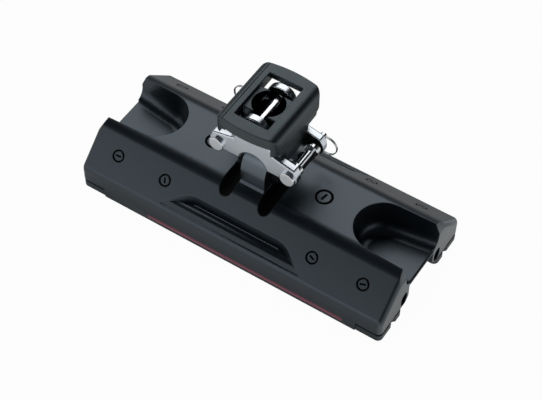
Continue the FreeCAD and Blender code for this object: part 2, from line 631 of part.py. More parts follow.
cap_screws = []
recess = size("cap_screw_recess")
half_slot = size("cap_screw_slot") / 2
for spot in cap_screw_spots:
    base = spot + AXIS_Z * recess
    head = Part.makeCylinder(size("cap_screw_head"), size("cap_screw_sink") - recess, base, AXIS_Z)
    shank = Part.makeCylinder(size("cap_screw_radius"), size("cap_screw_length") - recess, base, AXIS_Z)
    reach = size("cap_screw_head") + past
    slot = block(spot.x - reach, spot.x + reach, spot.y - half_slot, spot.y + half_slot, -past,
                 2 * recess)
    cap_screws.append(head.fuse(shank).cut(slot).removeSplitter())
solid("cap_screws", Part.makeCompound(cap_screws))


# Slotted screws: flat head in a ring recess, slot turned by a given angle
def slotted_screw(head_radius, head_depth, shank_radius, length, width, turn):
    head = Part.makeCylinder(head_radius, head_depth, V(0, 0, -head_depth), AXIS_Z)
    rim = [e for e in head.Edges if near(e.BoundBox.ZMin, 0)]
    head = head.makeChamfer(size("head_bevel"), rim)
    shank = Part.makeCylinder(shank_radius, length, V(0, 0, -length), AXIS_Z)
    reach = size("slot_share") * head_radius
    slot = block(-reach, reach, -width / 2, width / 2, -size("screw_slot_depth"), past)
    slot.rotate(ORIGIN, AXIS_Z, turn)
    return head.fuse(shank).cut(slot).removeSplitter()


def place(shape, spot, normal):
    turn = FreeCAD.Rotation(AXIS_Z, normal)
    return shape.transformGeometry(FreeCAD.Placement(spot, turn).toMatrix())


# How far each slot is turned, in degrees, from left to right
front_turns = (5, 112, 339, 16)
back_turns = (20, 75, 150, 40)
deck_turns = (20, 80)
for side, name, turns in ((-1, "front_slope_screws", front_turns), (1, "back_slope_screws", back_turns)):
    screws = []
    for x, turn in zip(slope_stations, turns):
        screw = slotted_screw(size("slope_head_radius"), size("slope_ring_depth"),
                              size("slope_shank_radius"), size("slope_screw_length"),
                              size("slope_slot_width"), turn)
        screws.append(place(screw, slope_point(x, size("slope_screw_along"), side),
                            slope_normal(side)))
    solid(name, Part.makeCompound(screws))
screws = []
for sign, turn in zip((-1, 1), deck_turns):
    screw = slotted_screw(size("deck_head_radius"), size("deck_ring_depth"),
                          size("deck_shank_radius"), size("deck_screw_length"),
                          size("deck_slot_width"), turn)
    screw.translate(V(sign * size("deck_screw_middle"), 0, size("deck_height")))
    screws.append(screw)
solid("deck_screws", Part.makeCompound(screws))

# Ball races: a rail in each side pocket of the channel, and its row of balls
for side, row in ((-1, "front"), (1, "back")):
    inner = size("rail_inner")
    outer = size("rail_outer")
    rail = Part.makeBox(size("race_length"), outer - inner, size("rail_high") - size("rail_low"),
                        V(-size("race_length") / 2, inner, size("rail_low")))
    groove = Part.makeCylinder(size("groove_ball"), size("race_length") + 2 * past,
                               V(-size("race_length") / 2 - past, inner, size("ball_level")), AXIS_X)
    rail = rail.cut(groove)
    balls = []
    count = int(size("ball_count"))
    for i in range(count):
        x = (i - (count - 1) / 2) * size("ball_pitch")
        balls.append(Part.makeSphere(size("ball_radius"), V(x, inner, size("ball_level"))))
    if side < 0:
        rail = rail.mirror(ORIGIN, AXIS_Y)
        balls = [ball.mirror(ORIGIN, AXIS_Y) for ball in balls]
    solid(row + "_race", rail)
    solid(row + "_balls", Part.makeCompound(balls))

# Toggle body: front and back plates, two hinge legs and the crown between them
toggle = new_body("toggle_blank")
bind(toggle, "Placement.Base.x", "middle_offset")
for row, plane, turned in (("front", "plate_inner", False), ("back", "-plate_inner", True)):
    outline = new_sketch(toggle, row + "_plate", "XZ_Plane")
    polygon(outline, [
        ("plate_low_half", "plate_low"), ("lug_edge", "lug_height"), ("arm_edge", "arm_side"),
        ("arm_end", "arm_end_height"), ("arm_start", "arm_start_height"), ("nick_half", "nick_low"),
        ("nick_half", "nick_high"), ("hook_half", "plate_top"), ("neck_half", "plate_top"),
        ("eye_radius", "eye_height"), ("-eye_radius", "eye_height"), ("-neck_half", "plate_top"),
        ("-hook_half", "plate_top"), ("-nick_half", "nick_high"), ("-nick_half", "nick_low"),
        ("-arm_start", "arm_start_height"), ("-arm_end", "arm_end_height"),
        ("-arm_edge", "arm_side"), ("-lug_edge", "lug_height"), ("-plate_low_half", "plate_low"),
    ])
    shift(outline, "z", plane)
    pad(toggle, row + "_plate_pad", outline, "plate_width", False, turned)
    for part, middle, level, radius in (("eye", "0", "eye_height", "eye_radius"),
                                        ("left_lug", "-lug_middle", "lug_height", "lug_radius"),
                                        ("right_lug", "lug_middle", "lug_height", "lug_radius")):
        disc = new_sketch(toggle, "%s_%s" % (row, part), "XZ_Plane")
        circle(disc, middle, level, radius)
        shift(disc, "z", plane)
        pad(toggle, "%s_%s_pad" % (row, part), disc, "plate_width", False, turned)
legs = new_sketch(toggle, "leg_outline", "YZ_Plane")
polygon(legs, [("plate_inner", "leg_shoulder"), ("plate_inner", "leg_top"),
               ("-plate_inner", "leg_top"), ("-plate_inner", "leg_shoulder"),
               ("-leg_eye_radius", "hinge_height"), ("leg_eye_radius", "hinge_height")])
pad(toggle, "legs_pad", legs, "double_leg_outer")
eyes = new_sketch(toggle, "leg_eyes", "YZ_Plane")
circle(eyes, "0", "hinge_height", "leg_eye_radius")
pad(toggle, "leg_eyes_pad", eyes, "double_leg_outer")
gap = new_sketch(toggle, "drum_gap", "XZ_Plane")
polygon(gap, [("-leg_inner", "gap_low"), ("leg_inner", "gap_low"), ("leg_inner", "crown_low"),
              ("-leg_inner", "crown_low")])
pocket(toggle, "drum_gap_cut", gap, "crown_depth")
notch = new_sketch(toggle, "plate_notch", "XZ_Plane")
circle(notch, "0", "notch_height", "notch_radius")
pocket(toggle, "plate_notch_cut", notch, "double_width")
bore = new_sketch(toggle, "leg_bores", "YZ_Plane")
circle(bore, "0", "hinge_height", "pin_bore")
pocket(toggle, "leg_bores_cut", bore, "double_width")
bores = new_sketch(toggle, "pin_bores", "XZ_Plane")
circle(bores, "0", "eye_height", "centre_bore")
circle(bores, "lug_middle", "lug_height", "side_bore")
circle(bores, "-lug_middle", "lug_height", "side_bore")
pocket(toggle, "pin_bores_cut", bores, "double_width")
chamfer(toggle, "plate_bevels", "plate_bevel",
        lambda e: near(abs(e.BoundBox.YMin), size("plate_outer"))
        and near(abs(e.BoundBox.YMax), size("plate_outer"))
        and not (e.Curve.TypeId == "Part::GeomCircle"
                 and near(e.Curve.Radius, size("centre_bore"), size("side_bore"))))
solid("toggle_body", toggle.Shape)

# Boot: barrel walls beside the legs, a core above the crown, and a cap that overhangs the plates
def mirrored_outline(points, plane):
    """Closed outline symmetric about the middle from one half, arcs through every three points."""
    def spot(a, b):
        return V(a, 0, b) if plane == "XZ" else V(a, b, 0)
    edges = []
    for sign in (1, -1):
        for kind, names in points:
            spots = [spot(sign * size(a), size(b)) for a, b in names]
            edge = Part.Arc(*spots) if kind == "arc" else Part.LineSegment(*spots)
            edges.append(edge.toShape())
    return edges


side_view = mirrored_outline([
    ("line", (("0", "boot_top"), ("boot_half", "boot_top"))),
    ("arc", (("boot_half", "boot_top"), ("boot_shoulder_half", "boot_shoulder_height"),
             ("boot_side_half", "boot_side_height"))),
    ("arc", (("boot_side_half", "boot_side_height"), ("boot_bulge_half", "boot_bulge_height"),
             ("boot_waist_half", "boot_waist_height"))),
    ("arc", (("boot_waist_half", "boot_waist_height"), ("boot_tuck_half", "boot_tuck_height"),
             ("boot_low_half", "boot_low"))),
    ("line", (("boot_low_half", "boot_low"), ("0", "boot_low"))),
], "XZ")
plan = []
for side in ("", "-"):
    plan += mirrored_outline([
        ("arc", (("boot_corner_half", side + "boot_corner"), ("boot_bend_half", side + "boot_bend"),
                 ("boot_bulge_half", side + "boot_side_reach"))),
        ("line", (("boot_bulge_half", side + "boot_side_reach"), ("boot_bulge_half", "0"))),
    ], "XY")
    plan.append(Part.Arc(V(-size("boot_corner_half"), size(side + "boot_corner"), 0),
                         V(0, size(side + "boot_front"), 0),
                         V(size("boot_corner_half"), size(side + "boot_corner"), 0)).toShape())


def prism(edges, start, reach):
    """Solid between a closed set of edges and its copy moved by reach."""
    wire = Part.Wire(Part.__sortEdges__(edges))
    return Part.Face(wire).extrude(reach).translated(start)


tall = size("boot_top") + past
deep = size("boot_front") + past
barrel = prism(side_view, AXIS_Y * -deep, AXIS_Y * 2 * deep)
column = prism(plan, ORIGIN, AXIS_Z * tall)

wide = size("boot_bulge_half") + past
low = size("boot_low") - past
cap_low = size("boot_cap_low")
wing_low = size("boot_wing_low")
inner = size("boot_inner")
cuts = []
for side in (-1, 1):
    near_y, far_y = sorted((side * inner, side * deep))
    cuts.append(block(-wide, wide, near_y, far_y, low, wing_low))
    cuts.append(block(-size("boot_wing_inner"), size("boot_wing_inner"), near_y, far_y,
                      wing_low - past, cap_low))
    near_y, far_y = sorted((side * size("boot_wing_reach"), side * deep))
    cuts.append(block(-wide, wide, near_y, far_y, low, size("boot_cheek_low")))
    near_y, far_y = sorted((side * size("ledge_reach"), side * size("window_reach")))
    cuts.append(block(-size("window_half"), size("window_half"), near_y, far_y, size("slot_floor"),
                      tall))
reach = size("window_reach")
cuts.append(block(-size("window_half"), size("window_half"), -reach, reach, size("ledge_height"), tall))
cuts.append(block(-size("boot_slit_half"), size("boot_slit_half"), -reach, reach, size("slit_low"), tall))
cuts.append(block(-size("window_half"), size("window_half"), 0, deep, cap_low - past, size("rim_low")))
cuts.append(block(-size("boot_leg_half"), size("boot_leg_half"), -deep, deep, low, size("boot_floor")))
cuts.append(Part.makeCylinder(size("bore_radius"), tall))
boot_shape = barrel.common(column).cut(cuts).removeSplitter()
boot_shape.translate(V(size("middle_offset"), 0, 0))
solid("boot", boot_shape)

# Hinge: bush in the drum, pin through both legs, a clip at each end
bush_end = V(size("middle_offset") - size("drum_half"), 0, size("hinge_height"))
solid("hinge_bush", tube(size("bush_radius"), size("pin_bore"), size("drum_width"), bush_end, AXIS_X))


def clipped_pin(radius, station, width, sink, ring, origin, axis):
    """Plain pin bevelled at both ends, and the open retaining rings in its two grooves."""
    play = size("clip_play")
    half = station + width + play + size("pin_rest")
    pin = Part.makeCylinder(radius, 2 * half, origin - axis * half, axis)
    pin = pin.makeChamfer(size("pin_bevel"), round_edges(pin))
    rings = []
    for sign in (-1, 1):
        middle = origin + axis * sign * (station + (width + play) / 2)
        groove_start = middle - axis * (width + play) / 2
        pin = pin.cut(tube(radius + past, radius - sink, width + play, groove_start, axis))
        clip = tube(radius + ring, radius - sink + size("fit_clear"), width, middle - axis * width / 2,
                    axis)
        mouth = Part.makeBox(2 * radius, 2 * radius, 2 * radius, V(-radius, -radius, -radius))
        mouth.translate(middle - AXIS_Z * (2 * radius - sink))
        rings.append(clip.cut(mouth))
    return pin, Part.makeCompound(rings)


pin, rings = clipped_pin(size("hinge_pin_radius"), size("leg_outer") + size("clip_gap"),
                         size("clip_width"), size("clip_sink"), size("clip_ring"),
                         V(size("middle_offset"), 0, size("hinge_height")), AXIS_X)
solid("hinge_pin", pin)
solid("hinge_clips", rings)
pin, rings = clipped_pin(size("centre_pin_radius"), size("plate_outer") + size("clip_gap"),
                         size("centre_clip_width"), size("centre_clip_sink"), size("centre_clip_ring"),
                         V(size("middle_offset"), 0, size("eye_height")), AXIS_Y)
solid("centre_pin", pin)
solid("centre_clips", rings)

# Side pins: head in front, cross hole and split ring behind, a spacer inside each plate
for sign, end in ((-1, "left"), (1, "right")):
    spot = V(size("middle_offset") + sign * size("lug_middle"), 0, size("lug_height"))
    front = spot - AXIS_Y * size("plate_outer")
    outside = front.y - size("side_head_width")
    head = Part.makeCylinder(size("side_head_radius"), size("side_head_width"),
                             V(front.x, outside, front.z), AXIS_Y)
    rim = [e for e in head.Edges if near(e.BoundBox.YMin, outside) and near(e.BoundBox.YMax, outside)]
    head = head.makeFillet(size("side_head_round"), rim)
    shank = Part.makeCylinder(size("side_pin_radius"), size("plate_outer") + size("pin_tail"), front,
                              AXIS_Y)
    tail = [e for e in shank.Edges if near(e.BoundBox.YMin, size("pin_tail"))]
    shank = shank.makeChamfer(size("pin_rest"), tail)
    station = spot + AXIS_Y * size("ring_station")
    swing = -size(end + "_swing")
    reach = AXIS_X * 2 * size("side_pin_radius")
    hole = Part.makeCylinder(size("ring_hole"), 2 * reach.Length,
                             station - reach - AXIS_Z * size("hole_offset"), AXIS_X)
    hole.rotate(station, AXIS_Y, swing)
    solid(end + "_pin", head.fuse(shank).cut(hole).removeSplitter())
    ring = Part.makeTorus(size("ring_radius"), size("ring_wire"),
                          station - AXIS_Z * size("ring_radius"), AXIS_Y)
    ring.rotate(station, AXIS_Y, swing)
    solid(end + "_ring", ring)
    for side, row in ((-1, "front"), (1, "back")):
        near_plate = size("plate_inner") - size("spacer_gap")
        start = near_plate - size("spacer_length") if side > 0 else -near_plate
        spacer = Part.makeCylinder(size("spacer_radius"), size("spacer_length"),
                                   spot + AXIS_Y * start, AXIS_Y)
        spacer = spacer.makeChamfer(size("pin_bevel"), round_edges(spacer))
        spacer = spacer.cut(Part.makeCylinder(size("side_bore"), size("spacer_length"),
                                              spot + AXIS_Y * start, AXIS_Y))
        solid("%s_%s_spacer" % (row, end), spacer)

doc.recompute()
nodes = [
    "car_body", "front_left_cap", "front_right_cap", "back_left_cap", "back_right_cap",
    "cap_screws", "front_race", "back_race", "front_balls", "back_balls",
    "front_slope_screws", "back_slope_screws", "deck_screws", "front_stripe", "back_stripe",
    "toggle_body", "boot", "hinge_bush", "hinge_pin", "hinge_clips", "centre_pin", "centre_clips",
    "left_pin", "right_pin", "left_ring", "right_ring", "front_left_spacer", "back_left_spacer",
    "front_right_spacer", "back_right_spacer",
]
for item in doc.Objects:
    if "Invalid" in item.State or "Error" in item.State:
        raise RuntimeError("bad state: %s %s" % (item.Name, item.State))
os.makedirs("parts", exist_ok=True)
for name in nodes:
    shape = doc.getObject(name).Shape
    if shape.isNull() or not shape.isValid():
        raise RuntimeError("bad shape: " + name)
    shape.exportStep("parts/%s.step" % name)
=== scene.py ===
import json
import math
import bpy
from mathutils import Matrix, Vector

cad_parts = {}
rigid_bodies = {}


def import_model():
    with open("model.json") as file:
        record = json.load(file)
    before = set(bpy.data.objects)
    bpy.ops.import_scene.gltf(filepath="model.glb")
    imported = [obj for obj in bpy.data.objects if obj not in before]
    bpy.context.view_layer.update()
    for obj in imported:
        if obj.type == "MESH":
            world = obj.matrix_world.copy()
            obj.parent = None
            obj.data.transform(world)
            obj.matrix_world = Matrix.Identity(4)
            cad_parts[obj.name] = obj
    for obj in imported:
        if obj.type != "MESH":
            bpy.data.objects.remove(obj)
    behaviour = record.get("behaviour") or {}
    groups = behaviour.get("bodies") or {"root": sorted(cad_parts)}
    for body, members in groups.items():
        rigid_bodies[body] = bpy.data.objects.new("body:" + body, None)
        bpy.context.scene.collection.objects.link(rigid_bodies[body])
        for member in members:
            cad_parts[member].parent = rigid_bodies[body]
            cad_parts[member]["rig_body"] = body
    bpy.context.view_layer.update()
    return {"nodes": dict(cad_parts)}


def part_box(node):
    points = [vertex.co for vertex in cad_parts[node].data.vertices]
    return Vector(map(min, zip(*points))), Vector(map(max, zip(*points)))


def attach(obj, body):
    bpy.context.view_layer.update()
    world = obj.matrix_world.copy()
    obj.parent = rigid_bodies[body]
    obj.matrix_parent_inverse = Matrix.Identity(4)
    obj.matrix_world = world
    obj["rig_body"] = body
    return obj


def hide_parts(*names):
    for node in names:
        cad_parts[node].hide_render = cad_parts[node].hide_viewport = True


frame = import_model()
nodes = frame["nodes"]
MM = 0.001

# Middle of the toggle and of the post below it, along the car
toggle_low, toggle_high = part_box("toggle_body")
middle_x = (toggle_low.x + toggle_high.x) / 2

# Rounding of sharp edges
BODY_ROUND = 0.35 * MM
CAP_ROUND = 0.4 * MM
SCREW_ROUND = 0.12 * MM
TOGGLE_ROUND = 0.7 * MM
BOOT_ROUND = 0.7 * MM
SHARP_ANGLE = math.radians(30)

# Points this near and faces this level become one in the copy of a node
MERGE_DISTANCE = 0.002 * MM
FLAT_ANGLE = math.radians(0.4)

# The car's slopes: rise and run, and their foot from the middle and above the ground, all in mm
SLOPE_RISE, SLOPE_RUN = 27.5, 29.5
SLOPE_FOOT = (55, 21)
SLOPE = math.atan2(SLOPE_RISE, SLOPE_RUN)

# Screws: the side that each group faces (0 is the deck) and the radius of its ring recesses
SCREW_GROUPS = {
    "front_slope_screws": (-1, 4.9 * MM),
    "back_slope_screws": (1, 4.9 * MM),
    "deck_screws": (0, 6.8 * MM),
}
# Least gap between two screws of a group, thickness of a head's top layer, and the depths below
# a head's top from which its faces and between which its ring recess get a painted shade
SCREW_SPACING = 20 * MM
CROWN_DEPTH = 0.02 * MM
SLOT_DEPTH = 0.3 * MM
RECESS_TOP, RECESS_BOTTOM = 0.35 * MM, 3 * MM

# The two grooves that clear the toggle's legs: from the post outward along the car, in height,
# in reach to the front and back, and how far their faces may lean to the front or back
# Faces found there get painted shade, a dull black.
GROOVE_NEAR, GROOVE_FAR = 10.2 * MM, 22.2 * MM
GROOVE_LOW, GROOVE_HIGH = 30 * MM, 48.2 * MM
GROOVE_REACH = 50 * MM
GROOVE_LEAN = 0.05

# The drum on the post between the grooves: half length, reach to the front and back, and foot
DRUM_HALF = 10.1 * MM
DRUM_REACH = 26 * MM
DRUM_FOOT = 52 * MM

# Half of the line where the wall of a thumb recess meets its floor, from its middle outward, in mm:
# along the car, up the slope from its foot, and above the slope
THUMB_CREASE = ((0, 12.7, -6.5), (34, 12.7, -6.5), (42.2, 11, -5.2), (47.3, 9.4, -3.2))
# The bars along it: how far up they face, their size, and their lift off the line and lap
CREASE_ANGLE = math.radians(40)
CREASE_WIDTH = 1.3 * MM
CREASE_THICKNESS = 0.8 * MM
CREASE_LIFT = 0.45 * MM
CREASE_LAP = 0.1 * MM

# Stripes: the height of a line and a level between the two lines in the solids, then the heights
# of the red and the dark line as printed. The side walls lie PRINT_BACKING from the middle, a hair
# behind the print.
LINE_HEIGHT = 0.9 * MM
BETWEEN_LINES = 1.3 * MM
STRIPE_BAND = 2.2 * MM
STRIPE_SHADE = 1.6 * MM
PRINT_BACKING = 54.96 * MM

# Toggle: its faces within PLATE_INNER of the middle get painted shade, a dull black, above
# CROWN_LEVEL, and below it where they face the front or back
PLATE_INNER = 14.2 * MM
CROWN_LEVEL = 66 * MM
PLATE_FACING = 0.9

# Boot: place along the car, half width and depth of the moulding line over its top, how far below
# the top it reaches, and how near its middle a point counts as on it
BOOT_LINE = -18.6 * MM
LINE_WIDTH = 0.35 * MM
LINE_DEPTH = 0.5 * MM
LINE_REACH = 3 * MM
ON_LINE = 0.01 * MM

# Split rings: thickness of the wire, sides of its section, degrees that it is wound, and steps
RING_WIRE = 0.88 * MM
WIRE_SIDES = 12
RING_TURN = 700
RING_STEPS = 96


# Small helpers for modelling by hand
def pick_none():
    """Leave edit mode and select nothing."""
    if bpy.context.object and bpy.context.object.mode != "OBJECT":
        bpy.ops.object.mode_set(mode="OBJECT")
    bpy.ops.object.select_all(action="DESELECT")


def pick(piece):
    """Make one piece the only selected one."""
    pick_none()
    piece.select_set(True)
    bpy.context.view_layer.objects.active = piece


def pick_all_in_edit():
    bpy.ops.object.mode_set(mode="EDIT")
    bpy.ops.mesh.select_all(action="SELECT")


def apply_all(piece):
    """Apply every modifier of a piece, in order."""
    pick(piece)
    for modifier in list(piece.modifiers):
        bpy.ops.object.modifier_apply(modifier=modifier.name)


def settle(piece):
    """Write a piece's place, turn and scale into its mesh."""
    pick(piece)
    bpy.ops.object.transform_apply(location=True, rotation=True, scale=True)


def smooth(piece, angle=35):
    """Smooth shading up to an angle in degrees, with flat faces kept flat to their edges."""
    pick(piece)
    bpy.ops.object.shade_smooth_by_angle(angle=math.radians(angle))
    even = piece.modifiers.new("even_shading", "WEIGHTED_NORMAL")
    even.weight = 90
    even.keep_sharp = True
    apply_all(piece)


def keep_to_box(piece, node):
    """Hold the rounded corners of a copy inside the box of its node."""
    low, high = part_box(node)
    for vertex in piece.data.vertices:
        vertex.co = [min(max(at, a), b) for at, a, b in zip(vertex.co, low, high)]


def copy_of(node, name):
    """New piece with a node's form, its loose triangles joined and its flat faces merged."""
    piece = bpy.data.objects.new(name, nodes[node].data.copy())
    piece.data.materials.clear()
    bpy.context.scene.collection.objects.link(piece)
    pick(piece)
    if piece.data.has_custom_normals:
        bpy.ops.mesh.customdata_custom_splitnormals_clear()
    pick_all_in_edit()
    bpy.ops.mesh.remove_doubles(threshold=MERGE_DISTANCE)
    bpy.ops.mesh.dissolve_limited(angle_limit=FLAT_ANGLE)
    bpy.ops.object.mode_set(mode="OBJECT")
    return piece


def round_off(piece, width, segments):
    """Round the sharp edges of a piece."""
    bevel = piece.modifiers.new("rounding", "BEVEL")
    bevel.width = width
    bevel.segments = segments
    bevel.limit_method = "ANGLE"
    bevel.angle_limit = SHARP_ANGLE
    bevel.use_clamp_overlap = False
    bevel.miter_outer = "MITER_ARC"
    apply_all(piece)


def rounded_copy(node, name, width, segments=3):
    """Copy of a node with its sharp edges rounded."""
    piece = copy_of(node, name)
    round_off(piece, width, segments)
    keep_to_box(piece, node)
    smooth(piece)
    return piece


def finish_piece(piece, material, body, node):
    """Dress a piece, say what it rides on and hide the node that it stands for."""
    piece.data.materials.append(material)
    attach(piece, body)
    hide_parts(node)


def second_finish(piece, material, wanted):
    """Give the faces that pass a test by centre and normal their own finish."""
    piece.data.materials.append(material)
    index = len(piece.data.materials) - 1
    for face in piece.data.polygons:
        if wanted(face.center, face.normal):
            face.material_index = index


# Materials: the range of a noise that they follow, and the cool tint of the black finishes
NOISE_LOW, NOISE_HIGH = 0.3, 0.7
COOL = (0.74, 0.88, 1.0, 1)
COOL_MOULDED = (0.76, 0.92, 1.0, 1)


class Finish:
    """Node material on Object coordinates, whose colour and roughness follow a noise."""

    def __init__(self, name):
        self.material = bpy.data.materials.new(name)
        self.material.use_nodes = True
        self.tree = self.material.node_tree
        self.shader = self.tree.nodes["Principled BSDF"]
        self.place = self.add("ShaderNodeTexCoord").outputs["Object"]

    def add(self, kind, **values):
        node = self.tree.nodes.new(kind)
        for key, value in values.items():
            setattr(node, key, value)
        return node

    def link(self, source, target):
        self.tree.links.new(source, target)

    def set(self, **values):
        for key, value in values.items():
            self.shader.inputs[key.replace("_", " ")].default_value = value

    def noise_at(self, place, scale, detail):
        noise = self.add("ShaderNodeTexNoise")
        noise.inputs["Scale"].default_value = scale
        noise.inputs["Detail"].default_value = detail
        self.link(place, noise.inputs["Vector"])
        return noise.outputs["Fac"]

    def noise(self, scale, detail, stretch=(1, 1, 1)):
        mapping = self.add("ShaderNodeMapping")
        mapping.inputs["Scale"].default_value = stretch
        self.link(self.place, mapping.inputs["Vector"])
        return self.noise_at(mapping.outputs["Vector"], scale, detail)

    def colour(self, source, dark, pale):
        """Base colour from dark to pale as the noise rises."""
        ramp = self.add("ShaderNodeValToRGB")
        stops = ((NOISE_LOW, dark), (NOISE_HIGH, pale))
        for element, (place, shade) in zip(ramp.color_ramp.elements, stops):
            element.position = place
            element.color = (*shade, 1)
        self.link(source, ramp.inputs["Fac"])
        self.link(ramp.outputs["Color"], self.shader.inputs["Base Color"])

    def roughness(self, source, low, high):
        """Roughness from low to high as the noise rises."""
        spread = self.add("ShaderNodeMapRange")
        spread.inputs["From Min"].default_value = NOISE_LOW
        spread.inputs["From Max"].default_value = NOISE_HIGH
        spread.inputs["To Min"].default_value = low
        spread.inputs["To Max"].default_value = high
        self.link(source, spread.inputs["Value"])
        self.link(spread.outputs["Result"], self.shader.inputs["Roughness"])

    def bump(self, source, height, strength):
        bump = self.add("ShaderNodeBump")
        bump.inputs["Distance"].default_value = height
        bump.inputs["Strength"].default_value = strength
        self.link(source, bump.inputs["Height"])
        self.link(bump.outputs["Normal"], self.shader.inputs["Normal"])


def anodised_black():
    """Bead blasted and hard anodised aluminium: nearly black, with a satin grain."""
    finish = Finish("anodised_black")
    finish.set(IOR=1.85, Specular_Tint=COOL)
    cloud = finish.noise(scale=35, detail=4)
    grain = finish.noise(scale=2600, detail=2)
    finish.colour(cloud, dark=(0.0035, 0.0055, 0.008), pale=(0.0055, 0.008, 0.0112))
    finish.roughness(cloud, low=0.3, high=0.34)
    finish.bump(grain, height=0.012 * MM, strength=0.3)
    return finish.material


def moulded_black():
    """Glass filled nylon: a soft satin skin with a very fine texture."""
    finish = Finish("moulded_black")
    finish.set(IOR=1.8, Specular_Tint=COOL_MOULDED)
    cloud = finish.noise(scale=60, detail=3)
    grain = finish.noise(scale=3200, detail=2)
    finish.colour(cloud, dark=(0.006, 0.0085, 0.010), pale=(0.009, 0.012, 0.0135))
    finish.roughness(cloud, low=0.36, high=0.42)
    finish.bump(grain, height=0.015 * MM, strength=0.3)
    return finish.material


def drum_black():
    """Turned and anodised drum, smoother than the body round it."""
    finish = Finish("drum_black")
    finish.set(IOR=2.5, Specular_Tint=COOL)
    cloud = finish.noise(scale=80, detail=3)
    finish.colour(cloud, dark=(0.0045, 0.006, 0.0085), pale=(0.0065, 0.0085, 0.0115))
    finish.roughness(cloud, low=0.26, high=0.32)
    return finish.material


def stripe_shade():
    """The upper line of the stripe, printed so lightly that it is a very dark red."""
    finish = Finish("stripe_shade")
    finish.set(IOR=1.85, Specular_Tint=COOL)
    cloud = finish.noise(scale=90, detail=4, stretch=(0.3, 1, 1))
    finish.colour(cloud, dark=(0.13, 0.018, 0.032), pale=(0.17, 0.026, 0.045))
    finish.roughness(cloud, low=0.35, high=0.45)
    return finish.material


def painted_shade_black():
    """Painted shade, a dull black, in slots, recesses and grooves and between the toggle's plates.
    """
    finish = Finish("painted_shade_black")
    finish.set(IOR=1.3)
    shade_noise = finish.noise(scale=900, detail=3)
    finish.colour(shade_noise, dark=(0.0012, 0.0018, 0.0026), pale=(0.0026, 0.0034, 0.0044))
    finish.roughness(shade_noise, low=0.7, high=0.85)
    return finish.material


def cap_black():
    """Hard black plastic of the end caps, with a moulded grain."""
    finish = Finish("cap_black")
    finish.set(IOR=1.75, Specular_Tint=COOL)
    grain = finish.noise(scale=1800, detail=3)
    finish.colour(grain, dark=(0.006, 0.008, 0.010), pale=(0.009, 0.0115, 0.0135))
    finish.roughness(grain, low=0.36, high=0.46)
    finish.bump(grain, height=0.02 * MM, strength=0.35)
    return finish.material


def tumbled_steel():
    """Cast stainless, tumbled and polished: bright with a faint unevenness."""
    finish = Finish("tumbled_steel")
    finish.set(Metallic=1.0)
    cloud = finish.noise(scale=140, detail=3)
    pits = finish.noise(scale=900, detail=2)
    finish.colour(cloud, dark=(0.70, 0.76, 0.81), pale=(0.79, 0.84, 0.89))
    finish.roughness(cloud, low=0.19, high=0.25)
    finish.bump(pits, height=0.01 * MM, strength=0.25)
    return finish.material


def turned_steel(name, centre, along):
    """Stainless turned on a lathe: faint rings about an axis through the given centre."""
    finish = Finish(name)
    finish.set(Metallic=1.0)
    offset = finish.add("ShaderNodeVectorMath", operation="SUBTRACT")
    offset.inputs[1].default_value = centre
    finish.link(finish.place, offset.inputs[0])
    flatten = finish.add("ShaderNodeVectorMath", operation="MULTIPLY")
    flatten.inputs[1].default_value = [0 if i == along else 1 for i in range(3)]
    finish.link(offset.outputs["Vector"], flatten.inputs[0])
    radius = finish.add("ShaderNodeVectorMath", operation="LENGTH")
    finish.link(flatten.outputs["Vector"], radius.inputs[0])
    parts = finish.add("ShaderNodeSeparateXYZ")
    finish.link(offset.outputs["Vector"], parts.inputs[0])
    both = finish.add("ShaderNodeCombineXYZ")
    finish.link(radius.outputs["Value"], both.inputs["X"])
    finish.link(parts.outputs[along], both.inputs["Y"])
    rings = finish.noise_at(both.outputs["Vector"], scale=2400, detail=2)
    cloud = finish.noise(scale=260, detail=3)
    finish.colour(cloud, dark=(0.84, 0.87, 0.90), pale=(0.90, 0.93, 0.95))
    finish.roughness(cloud, low=0.14, high=0.2)
    finish.bump(rings, height=0.004 * MM, strength=0.3)
    return finish.material


def drawn_wire():
    """Hard drawn stainless wire, bright with faint streaks."""
    finish = Finish("drawn_wire")
    finish.set(Metallic=1.0)
    streaks = finish.noise(scale=700, detail=2)
    finish.colour(streaks, dark=(0.62, 0.65, 0.67), pale=(0.74, 0.77, 0.79))
    finish.roughness(streaks, low=0.14, high=0.24)
    return finish.material


def blackened_screws():
    """Blackened screw heads, as dark as the body round them and a little smoother."""
    finish = Finish("blackened_screws")
    finish.set(IOR=1.85, Specular_Tint=COOL)
    cloud = finish.noise(scale=500, detail=3)
    finish.colour(cloud, dark=(0.005, 0.007, 0.009), pale=(0.009, 0.0115, 0.014))
    finish.roughness(cloud, low=0.27, high=0.34)
    finish.bump(cloud, height=0.01 * MM, strength=0.3)
    return finish.material


def plain_steel():
    """Stainless of the small screws and clips, a little dull."""
    finish = Finish("plain_steel")
    finish.set(Metallic=1.0)
    cloud = finish.noise(scale=400, detail=3)
    finish.colour(cloud, dark=(0.52, 0.55, 0.57), pale=(0.66, 0.69, 0.71))
    finish.roughness(cloud, low=0.22, high=0.34)
    return finish.material


def bearing_balls():
    """Moulded bearing plastic, a warm amber with a slight gloss."""
    finish = Finish("bearing_balls")
    finish.set(IOR=1.5)
    cloud = finish.noise(scale=220, detail=3)
    finish.colour(cloud, dark=(0.36, 0.30, 0.17), pale=(0.46, 0.39, 0.24))
    finish.roughness(cloud, low=0.2, high=0.32)
    return finish.material


def race_metal():
    """Dark hardened race, ground along its length."""
    finish = Finish("race_metal")
    finish.set(IOR=1.72)
    streaks = finish.noise(scale=900, detail=3, stretch=(0.02, 1, 1))
    finish.colour(streaks, dark=(0.014, 0.016, 0.018), pale=(0.03, 0.033, 0.036))
    finish.roughness(streaks, low=0.25, high=0.4)
    return finish.material


